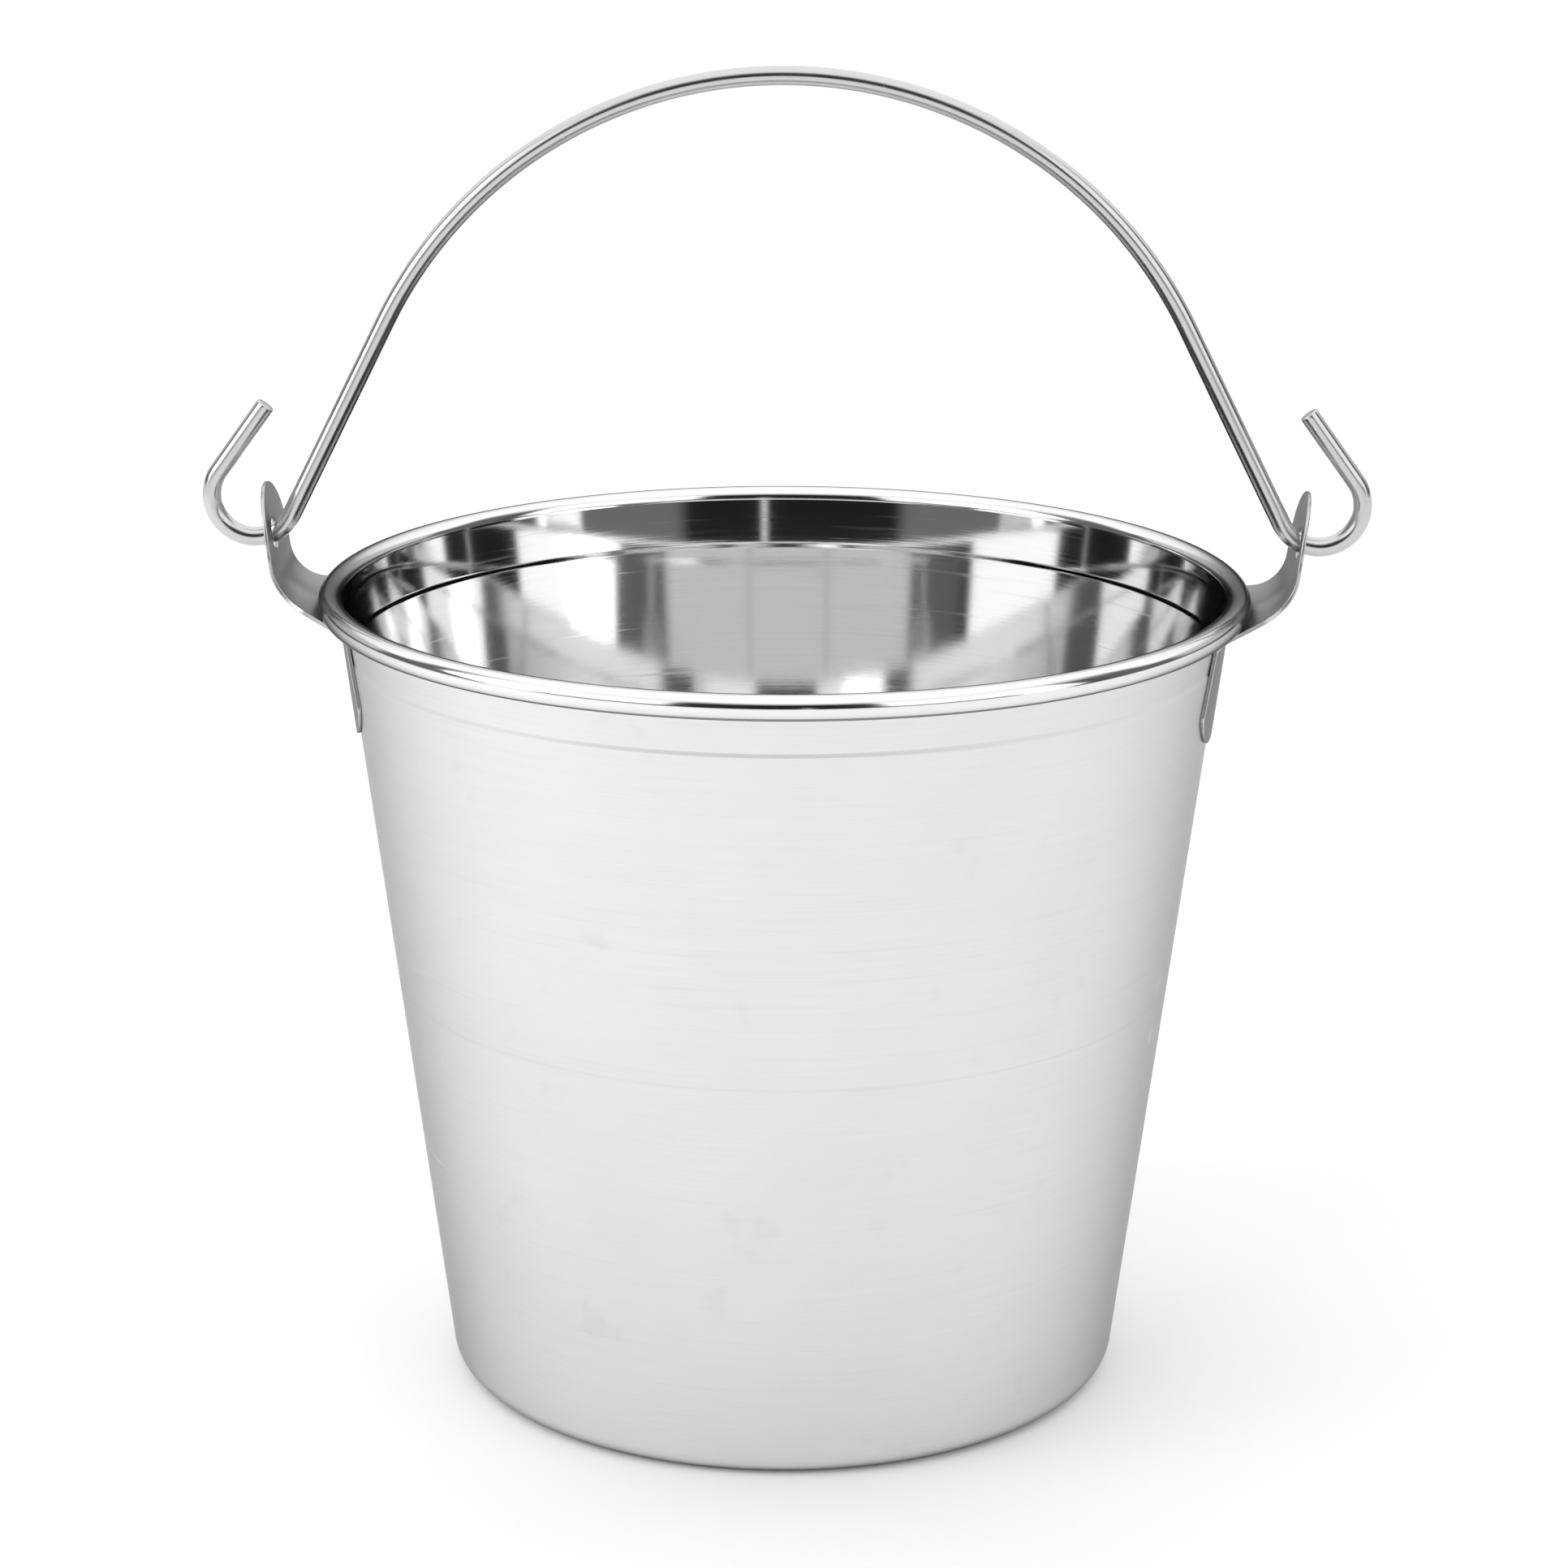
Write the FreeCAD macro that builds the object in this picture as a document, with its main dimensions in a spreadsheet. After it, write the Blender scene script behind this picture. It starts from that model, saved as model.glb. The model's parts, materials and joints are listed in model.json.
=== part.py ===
import FreeCAD, Part
import math
import os
from collections import namedtuple

import Sketcher

# Milk pail: a drawn sheet pail with a tapered wall and a rolled rim, two sheet ears welded under the
# rim, and a wire bail that swings in the ears and ends in an open hook outside each of them.
#
# Millimetres, +Z up. The origin is the middle of the face that the pail stands on, and +X points
# through the right ear. The bail stands upright in the plane of the two ears.

# ---------------------------------------------------------------------------------------------
# Driving sizes
# ---------------------------------------------------------------------------------------------
SIZES = {
    # Drawn shell
    "rim_height": 259.0,        # standing face to the top of the rolled rim
    "rim_radius": 147.0,        # outside of the rolled rim
    "base_inset": 39.1,         # rim's outside in to the wall's line at the standing face
    "sheet": 0.7,               # shell sheet
    "curl_radius": 3.9,         # outside of the rolled rim's section
    "curl_turn": 325.0,         # degrees that the sheet is rolled through
    "corner_radius": 7.5,       # outside of the bottom corner
    "collar_height": 19.0,      # rim top down to the collar's root
    "shoulder_height": 1.5,     # small step under the collar
    "collar_set": 0.6,          # collar's root inside the wall's straight line
    "shoulder_round": 2.0,      # bend above and below the step
    "foot_width": 9.0,          # flat standing ring inside the bottom corner
    "dish_depth": 1.5,          # bottom panel above the standing ring
    "dish_slope": 5.0,          # width of the slope between ring and panel
    "dish_round": 3.0,          # bends of that slope
    # Welded ears
    "ear_sheet": 1.2,
    "weld_gap": 0.05,           # wall to the lug that is welded on it
    "lug_drop": 45.0,           # rim top down to the lug's lower edge
    "lug_half_width": 44.5,
    "lug_corner": 22.0,         # lower corners of the lug
    "neck_clearance": 0.9,      # rolled rim to the neck that passes round it
    "neck_angle": 20.6,         # neck above the horizontal, in degrees
    "neck_bend": 4.0,           # inside of the bend between lug and neck
    "neck_reach": 9.5,          # rim to the corner between the neck's edge and the tab's side
    "flange_angle": 41.6,       # edge of the neck in plan, in degrees from the ear's own axis
    "flange_round": 25.0,       # hollow curve in place of that corner
    "tab_bend": 15.0,           # inside of the bend between neck and tab
    "tab_lean": 7.0,            # tab from the vertical, in degrees
    "tab_radius": 18.5,         # rounded top of the tab
    "tab_flare": 3.5,           # how much wider each side of the tab is at its foot
    "tab_foot": 3.0,            # rim top down to the tab's foot
    "tab_rise": 16.3,           # eye's centre up to the tab's top
    "eye_reach": 15.3,          # rim to the eye, outwards
    "eye_rise": 13.5,           # rim top to the eye, upwards
    "eye_play": 2.0,            # wire's surface to the eye's wall
    # Wire bail
    "wire_radius": 3.0,
    "arm_angle": 63.2,          # straight arm above the horizontal, in degrees
    "arm_run": 69.5,
    "hook_radius": 13.3,        # wire's centre line round the hook
    "eye_crossing": 25.0,       # wire in the eye, in degrees from the swing axis
    "tip_angle": 54.0,          # hook's free end above the horizontal, in degrees
    "tip_run": 26.3,            # straight free end
    "tip_round": 0.4,           # broken edge of the cut wire
}

FULL_TURN = 360.0
TRIM_MARGIN = 90.0              # how far the trimming frames reach past the ear
STRIP_SPARE = 4.0               # ear strip past the outline that trims it
STRIP_SWEEP = 70.0              # degrees of strip turned before its outline is trimmed
LENGTH_TOLERANCE = 0.02         # used to find an edge by its place

# ---------------------------------------------------------------------------------------------
# Places worked out from the sizes, as expressions on the sheet
# ---------------------------------------------------------------------------------------------
BASE_RADIUS = "(Sizes.rim_radius - Sizes.base_inset)"
CURL_AXIS_RADIUS = "(Sizes.rim_radius - Sizes.curl_radius)"
CURL_LEVEL = "(Sizes.rim_height - Sizes.curl_radius)"
WALL_TOP_RADIUS = "(Sizes.rim_radius - 2 * Sizes.curl_radius + Sizes.sheet)"
TAPER = f"(({WALL_TOP_RADIUS} - {BASE_RADIUS}) / {CURL_LEVEL})"
COLLAR_ROOT = "(Sizes.rim_height - Sizes.collar_height)"
SHOULDER_FOOT = f"({COLLAR_ROOT} - Sizes.shoulder_height)"
EYE_X = "(Sizes.rim_radius + Sizes.eye_reach)"
EYE_Z = "(Sizes.rim_height + Sizes.eye_rise)"
LUG_FOOT = "(Sizes.rim_height - Sizes.lug_drop)"
TAB_TOP = f"({EYE_Z} + Sizes.tab_rise)"

Point = namedtuple("Point", "x y")
# A step of an outline runs to a point, straight or, with a centre, along an arc.
Step = namedtuple("Step", "to centre radius left", defaults=(None, None, True))


def make_sizes(doc):
    """Write the driving sizes into the sheet, one aliased plain number a row."""
    sheet = doc.addObject("Spreadsheet::Sheet", "Sizes")
    for row, (name, number) in enumerate(SIZES.items(), start=1):
        sheet.set(f"A{row}", name)
        sheet.set(f"B{row}", str(number))
        sheet.setAlias(f"B{row}", name)
    doc.recompute()
    return sheet


def value(sheet, expression):
    """Number that an expression on the sheet gives now."""
    return float(sheet.evalExpression(expression))


def wall_line(level):
    """Outer radius of the wall's straight line at a level."""
    return f"({BASE_RADIUS} + {TAPER} * {level})"


# ---------------------------------------------------------------------------------------------
# Sketch and feature helpers
# ---------------------------------------------------------------------------------------------
def new_sketch(body, name, role):
    """Sketch on one of the body's own origin planes."""
    sketch = body.newObject("Sketcher::SketchObject", name)
    plane = next(item for item in body.Origin.OriginFeatures if item.Role == role)
    sketch.AttachmentSupport = [(plane, "")]
    sketch.MapMode = "FlatFace"
    return sketch


def bind(sketch, constraint, expression):
    """Add a constraint and tie its value to the sheet."""
    index = sketch.addConstraint(constraint)
    sketch.setExpression(f"Constraints[{index}]", expression)


def pin(sheet, sketch, edge, end, point):
    """Hold one end of an edge at a point given by two expressions."""
    for kind, axis, expression in (("DistanceX", -2, point.x), ("DistanceY", -1, point.y)):
        if expression == "0":
            sketch.addConstraint(Sketcher.Constraint("PointOnObject", edge, end, axis))
        else:
            number = value(sheet, expression)
            bind(sketch, Sketcher.Constraint(kind, -1, 1, edge, end, number), expression)


def draw_outline(sheet, sketch, start, steps, closed=True):
    """Draw lines and arcs through pinned points, joined end to end."""
    here = start
    joints = []
    for step in steps:
        x0, y0 = value(sheet, here.x), value(sheet, here.y)
        x1, y1 = value(sheet, step.to.x), value(sheet, step.to.y)
        if step.centre is None:
            line = Part.LineSegment(FreeCAD.Vector(x0, y0, 0), FreeCAD.Vector(x1, y1, 0))
            edge, first, last = sketch.addGeometry(line), 1, 2
        else:
            cx, cy = value(sheet, step.centre.x), value(sheet, step.centre.y)
            angles = [math.atan2(y0 - cy, x0 - cx), math.atan2(y1 - cy, x1 - cx)]
            first, last = (1, 2) if step.left else (2, 1)
            if not step.left:
                angles.reverse()
            circle = Part.Circle(FreeCAD.Vector(cx, cy, 0), FreeCAD.Vector(0, 0, 1),
                                 value(sheet, step.radius))
            edge = sketch.addGeometry(Part.ArcOfCircle(circle, *angles))
            bind(sketch, Sketcher.Constraint("Radius", edge, value(sheet, step.radius)),
                 step.radius)
        joints.append((edge, first, last))
        here = step.to
    for (edge, _, last), (following, first, _) in zip(joints, joints[1:]):
        sketch.addConstraint(Sketcher.Constraint("Coincident", edge, last, following, first))
    if closed:
        sketch.addConstraint(Sketcher.Constraint("Coincident", joints[-1][0], joints[-1][2],
                                                 joints[0][0], joints[0][1]))
    else:
        pin(sheet, sketch, joints[0][0], joints[0][1], start)
    for (edge, _, last), step in zip(joints, steps):
        pin(sheet, sketch, edge, last, step.to)


def draw_polygon(sheet, sketch, corners):
    """Closed outline of straight lines."""
    draw_outline(sheet, sketch, corners[0], [Step(c) for c in corners[1:] + corners[:1]])


def revolve(body, sketch, name, angle, midplane=False):
    """Turn a sketch of the XZ plane about the pail's axis."""
    feature = body.newObject("PartDesign::Revolution", name)
    feature.Profile = sketch
    feature.ReferenceAxis = (sketch, ["V_Axis"])
    feature.Angle = angle
    feature.Midplane = midplane
    return feature


def circles_at(sheet, feature, radius, level):
    """Names of the circular edges about the Z axis with this radius and level."""
    names = []
    for number, edge in enumerate(feature.Shape.Edges, start=1):
        curve = edge.Curve
        if not isinstance(curve, Part.Circle) or abs(curve.Axis.z) < 1 - LENGTH_TOLERANCE:
            continue
        off = math.hypot(curve.Radius - value(sheet, radius), curve.Center.z - value(sheet, level))
        if off < LENGTH_TOLERANCE:
            names.append(f"Edge{number}")
    return names


def round_edges(body, name, base, edges, radius):
    """Fillet named edges of a feature; the radius is an expression."""
    if not edges:
        raise ValueError(f"{name}: no edge found to round")
    fillet = body.newObject("PartDesign::Fillet", name)
    fillet.Base = (base, edges)
    fillet.setExpression("Radius", radius)
    return fillet


def trim(body, sketch, name, doc):
    """Cut a sketch right through the body, both ways, and make sure that it removed metal."""
    before = body.Shape.Volume
    pocket = body.newObject("PartDesign::Pocket", name)
    pocket.Profile = sketch
    pocket.SideType = "Symmetric"
    pocket.Type = "ThroughAll"
    doc.recompute()
    if body.Shape.Volume >= before:
        raise ValueError(f"{name}: nothing was cut")
    return pocket


# ---------------------------------------------------------------------------------------------
# Shell
# ---------------------------------------------------------------------------------------------
def make_pail_body(doc, sheet):
    """Drawn shell: solid outer form, rounded, hollowed to sheet, and given its rolled rim."""
    body = doc.addObject("PartDesign::Body", "pail_body")
    body.Label = "pail_body"

    dish_rim = f"({BASE_RADIUS} - Sizes.corner_radius - Sizes.foot_width)"
    dish_foot = f"({dish_rim} - Sizes.dish_slope)"
    collar_root_radius = f"({wall_line(COLLAR_ROOT)} - Sizes.collar_set)"
    form = new_sketch(body, "outer_form", "XZ_Plane")
    draw_polygon(sheet, form, [
        Point("0", "Sizes.dish_depth"),
        Point(dish_foot, "Sizes.dish_depth"),
        Point(dish_rim, "0"),
        Point(BASE_RADIUS, "0"),
        Point(wall_line(SHOULDER_FOOT), SHOULDER_FOOT),
        Point(collar_root_radius, COLLAR_ROOT),
        Point(WALL_TOP_RADIUS, CURL_LEVEL),
        Point("0", CURL_LEVEL),
    ])
    blank = revolve(body, form, "blank", FULL_TURN)
    doc.recompute()

    bends = (
        ("bottom_corner", "Sizes.corner_radius", ((BASE_RADIUS, "0"),)),
        ("dish_bends", "Sizes.dish_round", ((dish_rim, "0"), (dish_foot, "Sizes.dish_depth"))),
        ("shoulder_bends", "Sizes.shoulder_round",
         ((wall_line(SHOULDER_FOOT), SHOULDER_FOOT), (collar_root_radius, COLLAR_ROOT))),
    )
    last = blank
    for name, radius, circles in bends:
        edges = [edge for circle in circles for edge in circles_at(sheet, last, *circle)]
        last = round_edges(body, name, last, edges, radius)
        doc.recompute()

    top = max(range(len(last.Shape.Faces)), key=lambda i: last.Shape.Faces[i].CenterOfMass.z)
    shell = body.newObject("PartDesign::Thickness", "drawn_sheet")
    shell.Base = (last, [f"Face{top + 1}"])
    shell.Mode = "Skin"
    shell.Join = "Arc"
    shell.Reversed = True
    shell.setExpression("Value", "Sizes.sheet")
    doc.recompute()

    curl = new_sketch(body, "curl_section", "XZ_Plane")
    inner = "(Sizes.curl_radius - Sizes.sheet)"
    turn_left = "(Sizes.curl_turn / 2)"
    centre = Point(CURL_AXIS_RADIUS, CURL_LEVEL)

    def on_curl(radius, turned):
        """Point of the rolled section, turned from the wall over the top."""
        return Point(f"({CURL_AXIS_RADIUS} - {radius} * cos({turned}))",
                     f"({CURL_LEVEL} + {radius} * sin({turned}))")

    draw_outline(sheet, curl, on_curl("Sizes.curl_radius", "0"), [
        Step(on_curl("Sizes.curl_radius", turn_left), centre, "Sizes.curl_radius", False),
        Step(on_curl("Sizes.curl_radius", "Sizes.curl_turn"), centre, "Sizes.curl_radius", False),
        Step(on_curl(inner, "Sizes.curl_turn")),
        Step(on_curl(inner, turn_left), centre, inner, True),
        Step(on_curl(inner, "0"), centre, inner, True),
        Step(on_curl("Sizes.curl_radius", "0")),
    ])
    revolve(body, curl, "rolled_rim", FULL_TURN)
    return body


# ---------------------------------------------------------------------------------------------
# Ears
# ---------------------------------------------------------------------------------------------
def strip_face(skin):
    """Foot, two bend corners and top of one face of the ear strip, in radius and level.

    skin is the face's distance from the wall-side face, as an expression. The lug runs up the wall,
    the neck passes under the rolled rim at its clearance, and the tab stands over the rim.
    """
    lug_offset = f"((Sizes.weld_gap + {skin}) * sqrt(1 + {TAPER} ^ 2))"
    lug_at_floor = f"({BASE_RADIUS} + {lug_offset})"
    around = f"(Sizes.curl_radius + Sizes.neck_clearance + {skin})"
    near_r = f"({CURL_AXIS_RADIUS} + {around} * sin(Sizes.neck_angle))"
    near_z = f"({CURL_LEVEL} - {around} * cos(Sizes.neck_angle))"
    lean = "tan(Sizes.tab_lean)"
    tab_at_eye = f"({EYE_X} + ({skin} - Sizes.ear_sheet / 2) / cos(Sizes.tab_lean))"

    to_lug = (f"(({lug_at_floor} + {TAPER} * {near_z} - {near_r})"
              f" / (cos(Sizes.neck_angle) - {TAPER} * sin(Sizes.neck_angle)))")
    to_tab = (f"(({tab_at_eye} + ({near_z} - {EYE_Z}) * {lean} - {near_r})"
              f" / (cos(Sizes.neck_angle) - {lean} * sin(Sizes.neck_angle)))")
    foot = f"({LUG_FOOT} - {STRIP_SPARE})"
    top = f"({TAB_TOP} + {STRIP_SPARE})"

    def on_neck(run):
        """Point of the neck's line, a run from the place nearest to the rolled rim."""
        return Point(f"({near_r} + {run} * cos(Sizes.neck_angle))",
                     f"({near_z} + {run} * sin(Sizes.neck_angle))")

    return [
        Point(f"({lug_at_floor} + {TAPER} * {foot})", foot),
        on_neck(to_lug),
        on_neck(to_tab),
        Point(f"({tab_at_eye} + ({top} - {EYE_Z}) * {lean})", top),
    ]


def draw_front_trim(sheet, sketch):
    """Frame in front view that leaves the lug's rounded foot and the tab's round top."""
    foot_level = "(Sizes.rim_height - Sizes.tab_foot)"
    foot_side = "(Sizes.tab_radius + Sizes.tab_flare)"
    tab_centre = f"({TAB_TOP} - Sizes.tab_radius)"
    half = "(Sizes.lug_half_width - Sizes.lug_corner)"
    corner_level = f"({LUG_FOOT} + Sizes.lug_corner)"
    right_corner = Point(half, corner_level)
    left_corner = Point(f"(-{half})", corner_level)
    crown = Point("0", tab_centre)
    left_side = "(-Sizes.lug_half_width)"
    left_tab = "(-Sizes.tab_radius)"
    draw_outline(sheet, sketch, Point(left_corner.x, LUG_FOOT), [
        Step(Point(half, LUG_FOOT)),
        Step(Point("Sizes.lug_half_width", corner_level), right_corner, "Sizes.lug_corner"),
        Step(Point("Sizes.lug_half_width", foot_level)),
        Step(Point(foot_side, foot_level)),
        Step(Point("Sizes.tab_radius", tab_centre)),
        Step(Point("0", TAB_TOP), crown, "Sizes.tab_radius"),
        Step(Point(left_tab, tab_centre), crown, "Sizes.tab_radius"),
        Step(Point(f"(-{foot_side})", foot_level)),
        Step(Point(left_side, foot_level)),
        Step(Point(left_side, corner_level)),
        Step(Point(left_corner.x, LUG_FOOT), left_corner, "Sizes.lug_corner"),
    ])
    reach = f"(Sizes.lug_half_width + {TRIM_MARGIN})"
    low = f"({LUG_FOOT} - {TRIM_MARGIN})"
    high = f"({TAB_TOP} + {TRIM_MARGIN})"
    draw_polygon(sheet, sketch, [
        Point(f"(-{reach})", low), Point(reach, low), Point(reach, high), Point(f"(-{reach})", high),
    ])


def draw_plan_trim(sheet, sketch):
    """Two blocks in plan that narrow the neck from the lug's width to the tab's."""
    meet_x = "(Sizes.rim_radius + Sizes.neck_reach)"
    slope = "tan(Sizes.flange_angle)"
    tangent = "(Sizes.flange_round * tan(Sizes.flange_angle / 2))"
    back = f"({tangent} * cos(Sizes.flange_angle))"
    aside = f"({tangent} * sin(Sizes.flange_angle))"
    far_x = f"({EYE_X} + {TRIM_MARGIN})"
    far_y = f"(Sizes.lug_half_width + {TRIM_MARGIN})"
    start_x = f"({meet_x} - ({far_y} - Sizes.tab_radius) / {slope})"
    for sign, left in (("", True), ("-", False)):
        centre = Point(f"({meet_x} + {tangent})",
                       f"({sign}(Sizes.tab_radius + Sizes.flange_round))")
        draw_outline(sheet, sketch, Point(start_x, f"({sign}{far_y})"), [
            Step(Point(f"({meet_x} - {back})", f"({sign}(Sizes.tab_radius + {aside}))")),
            Step(Point(f"({meet_x} + {tangent})", f"({sign}Sizes.tab_radius)"),
                 centre, "Sizes.flange_round", left),
            Step(Point(far_x, f"({sign}Sizes.tab_radius)")),
            Step(Point(far_x, f"({sign}{far_y})")),
            Step(Point(start_x, f"({sign}{far_y})")),
        ])


def make_ear(doc, sheet, label, turn):
    """Pressed ear: a bent strip turned about the pail's axis, trimmed to outline and pierced."""
    body = doc.addObject("PartDesign::Body", label)
    body.Label = label

    wall_side = strip_face("0")
    outer_side = strip_face("Sizes.ear_sheet")
    strip = new_sketch(body, f"{label}_strip", "XZ_Plane")
    draw_polygon(sheet, strip, wall_side + outer_side[::-1])
    blank = revolve(body, strip, f"{label}_blank", STRIP_SWEEP, midplane=True)
    doc.recompute()

    bends = (
        ("neck_inside", outer_side[1], "Sizes.neck_bend"),
        ("neck_outside", wall_side[1], "(Sizes.neck_bend + Sizes.ear_sheet)"),
        ("tab_inside", wall_side[2], "Sizes.tab_bend"),
        ("tab_outside", outer_side[2], "(Sizes.tab_bend + Sizes.ear_sheet)"),
    )
    last = blank
    for name, corner, radius in bends:
        edges = circles_at(sheet, last, corner.x, corner.y)
        last = round_edges(body, f"{label}_{name}", last, edges, radius)
        doc.recompute()

    plan = new_sketch(body, f"{label}_plan", "XY_Plane")
    draw_plan_trim(sheet, plan)
    trim(body, plan, f"{label}_plan_trim", doc)

    front = new_sketch(body, f"{label}_front", "YZ_Plane")
    draw_front_trim(sheet, front)
    trim(body, front, f"{label}_front_trim", doc)

    eye = new_sketch(body, f"{label}_eye", "YZ_Plane")
    hole_radius = "(Sizes.wire_radius + Sizes.eye_play)"
    centre = FreeCAD.Vector(0, value(sheet, EYE_Z), 0)
    circle = Part.Circle(centre, FreeCAD.Vector(0, 0, 1), value(sheet, hole_radius))
    eye.addGeometry(circle)
    pin(sheet, eye, 0, 3, Point("0", EYE_Z))
    bind(eye, Sketcher.Constraint("Radius", 0, value(sheet, hole_radius)), hole_radius)
    trim(body, eye, f"{label}_eye_hole", doc)

    body.Placement = FreeCAD.Placement(FreeCAD.Vector(), FreeCAD.Rotation(FreeCAD.Vector(0, 0, 1), turn))
    return body


# ---------------------------------------------------------------------------------------------
# Bail
# ---------------------------------------------------------------------------------------------
def make_bail(doc, sheet):
    """One wire from hook to hook: a round arch, straight arms, and the bends in the ears."""
    body = doc.addObject("PartDesign::Body", "bail")
    body.Label = "bail"

    hook = Point(f"({EYE_X} + Sizes.hook_radius * sin(Sizes.eye_crossing))",
                 f"({EYE_Z} + Sizes.hook_radius * cos(Sizes.eye_crossing))")

    def round_hook(sine, cosine):
        """Point of the hook's bend, by the direction from its centre."""
        return Point(f"({hook.x} + Sizes.hook_radius * {sine})",
                     f"({hook.y} + Sizes.hook_radius * {cosine})")

    arm_foot = round_hook("(-sin(Sizes.arm_angle))", "(-cos(Sizes.arm_angle))")
    arm_top = Point(f"({arm_foot.x} - Sizes.arm_run * cos(Sizes.arm_angle))",
                    f"({arm_foot.y} + Sizes.arm_run * sin(Sizes.arm_angle))")
    arch_radius = f"({arm_top.x} / sin(Sizes.arm_angle))"
    arch_centre = Point("0", f"({arm_top.y} - {arch_radius} * cos(Sizes.arm_angle))")
    crown = Point("0", f"({arch_centre.y} + {arch_radius})")
    tip_foot = round_hook("sin(Sizes.tip_angle)", "cos(Sizes.tip_angle)")
    tip = Point(f"({tip_foot.x} - Sizes.tip_run * cos(Sizes.tip_angle))",
                f"({tip_foot.y} + Sizes.tip_run * sin(Sizes.tip_angle))")

    path = new_sketch(body, "wire_path", "XZ_Plane")
    draw_outline(sheet, path, crown, [
        Step(arm_top, arch_centre, arch_radius, False),
        Step(arm_foot),
        Step(Point(EYE_X, EYE_Z), hook, "Sizes.hook_radius"),
        Step(round_hook("1", "0"), hook, "Sizes.hook_radius"),
        Step(tip_foot, hook, "Sizes.hook_radius"),
        Step(tip),
    ], closed=False)

    section = new_sketch(body, "wire_section", "YZ_Plane")
    centre = FreeCAD.Vector(0, value(sheet, crown.y), 0)
    section.addGeometry(Part.Circle(centre, FreeCAD.Vector(0, 0, 1), value(sheet, "Sizes.wire_radius")))
    pin(sheet, section, 0, 3, crown)
    bind(section, Sketcher.Constraint("Radius", 0, value(sheet, "Sizes.wire_radius")),
         "Sizes.wire_radius")

    half = body.newObject("PartDesign::AdditivePipe", "half_wire")
    half.Profile = section
    half.Spine = path
    doc.recompute()

    wire_length = sum(edge.Length for edge in path.Shape.Edges)
    expected = math.pi * value(sheet, "Sizes.wire_radius") ** 2 * wire_length
    if abs(half.Shape.Volume - expected) > LENGTH_TOLERANCE * expected:
        raise ValueError("half_wire: the swept volume is not its section times its length")

    tip_place = FreeCAD.Vector(value(sheet, tip.x), 0, value(sheet, tip.y))
    edges = [f"Edge{number}" for number, edge in enumerate(half.Shape.Edges, start=1)
             if (edge.CenterOfMass - tip_place).Length < LENGTH_TOLERANCE]
    broken = round_edges(body, "tip_edge", half, edges, "Sizes.tip_round")
    doc.recompute()

    mirrored = body.newObject("PartDesign::Mirrored", "whole_wire")
    mirrored.TransformMode = "Whole shape"
    middle = next(item for item in body.Origin.OriginFeatures if item.Role == "YZ_Plane")
    mirrored.MirrorPlane = (middle, [""])
    mirrored.BaseFeature = broken
    body.Tip = mirrored
    doc.recompute()
    return body


# ---------------------------------------------------------------------------------------------
# Document, checks and export
# ---------------------------------------------------------------------------------------------
def check_document(doc, bodies):
    """Stop on a failed feature, a loose sketch or a body that isn't one valid solid."""
    for item in doc.Objects:
        if "Invalid" in item.State or "Error" in item.State:
            raise RuntimeError(f"{item.Name} failed: {item.State}")
        if item.TypeId == "Sketcher::SketchObject" and item.solve() != 0:
            raise RuntimeError(f"{item.Name} has no solution")
    for body in bodies:
        shape = body.Shape
        if shape.isNull() or not shape.isValid() or len(shape.Solids) != 1:
            raise RuntimeError(f"{body.Label} is not one valid solid")


def main():
    """Build the pail and write each of its pieces as its own STEP file."""
    doc = FreeCAD.newDocument("milk_pail")
    sheet = make_sizes(doc)
    bodies = [
        make_pail_body(doc, sheet),
        make_ear(doc, sheet, "ear_right", 0.0),
        make_ear(doc, sheet, "ear_left", 180.0),
        make_bail(doc, sheet),
    ]
    doc.recompute()
    check_document(doc, bodies)

    os.makedirs("parts", exist_ok=True)
    for body in bodies:
        body.Shape.exportStep(f"parts/{body.Label}.step")
        box = body.Shape.BoundBox
        print(f"{body.Label}: volume {body.Shape.Volume:.0f} mm3, "
              f"{box.XLength:.1f} x {box.YLength:.1f} x {box.ZLength:.1f} mm")


main()
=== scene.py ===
"""Milk pail: a drawn steel pail with a rolled rim, two welded sheet ears and a swinging wire bail.

Metres, +Z up, +X through the right ear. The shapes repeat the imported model's sizes, apart from a softer
step under the collar: the shell is a sheet's centre line turned about the pail's axis, each ear is a bent
strip with an eye in it, and the bail is a wire's section carried along its centre line.
"""
import json
import logging
import math
from dataclasses import dataclass
from enum import Enum
from typing import Any, Sequence, Union

import bmesh
import bpy
import numpy as np
from mathutils import Matrix, Vector


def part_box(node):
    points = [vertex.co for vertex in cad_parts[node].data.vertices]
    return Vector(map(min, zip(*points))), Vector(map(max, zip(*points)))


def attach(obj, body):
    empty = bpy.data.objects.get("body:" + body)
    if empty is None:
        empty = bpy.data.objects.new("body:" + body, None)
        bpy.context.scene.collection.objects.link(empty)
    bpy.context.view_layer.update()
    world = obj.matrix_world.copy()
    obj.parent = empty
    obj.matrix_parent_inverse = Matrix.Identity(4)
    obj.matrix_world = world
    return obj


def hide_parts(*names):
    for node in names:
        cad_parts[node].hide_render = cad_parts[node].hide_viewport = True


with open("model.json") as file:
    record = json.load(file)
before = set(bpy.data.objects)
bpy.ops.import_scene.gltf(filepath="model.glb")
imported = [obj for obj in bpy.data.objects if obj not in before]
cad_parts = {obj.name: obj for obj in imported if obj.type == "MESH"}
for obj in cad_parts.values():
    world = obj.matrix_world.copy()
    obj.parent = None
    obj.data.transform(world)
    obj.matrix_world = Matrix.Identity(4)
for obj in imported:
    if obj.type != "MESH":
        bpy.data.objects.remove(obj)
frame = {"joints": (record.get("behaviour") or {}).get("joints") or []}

MM = 0.001
MICRON = 0.000001
MERGE_DISTANCE = 0.1 * MICRON
LOG = logging.getLogger("milk_pail")
Array = np.ndarray


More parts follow.
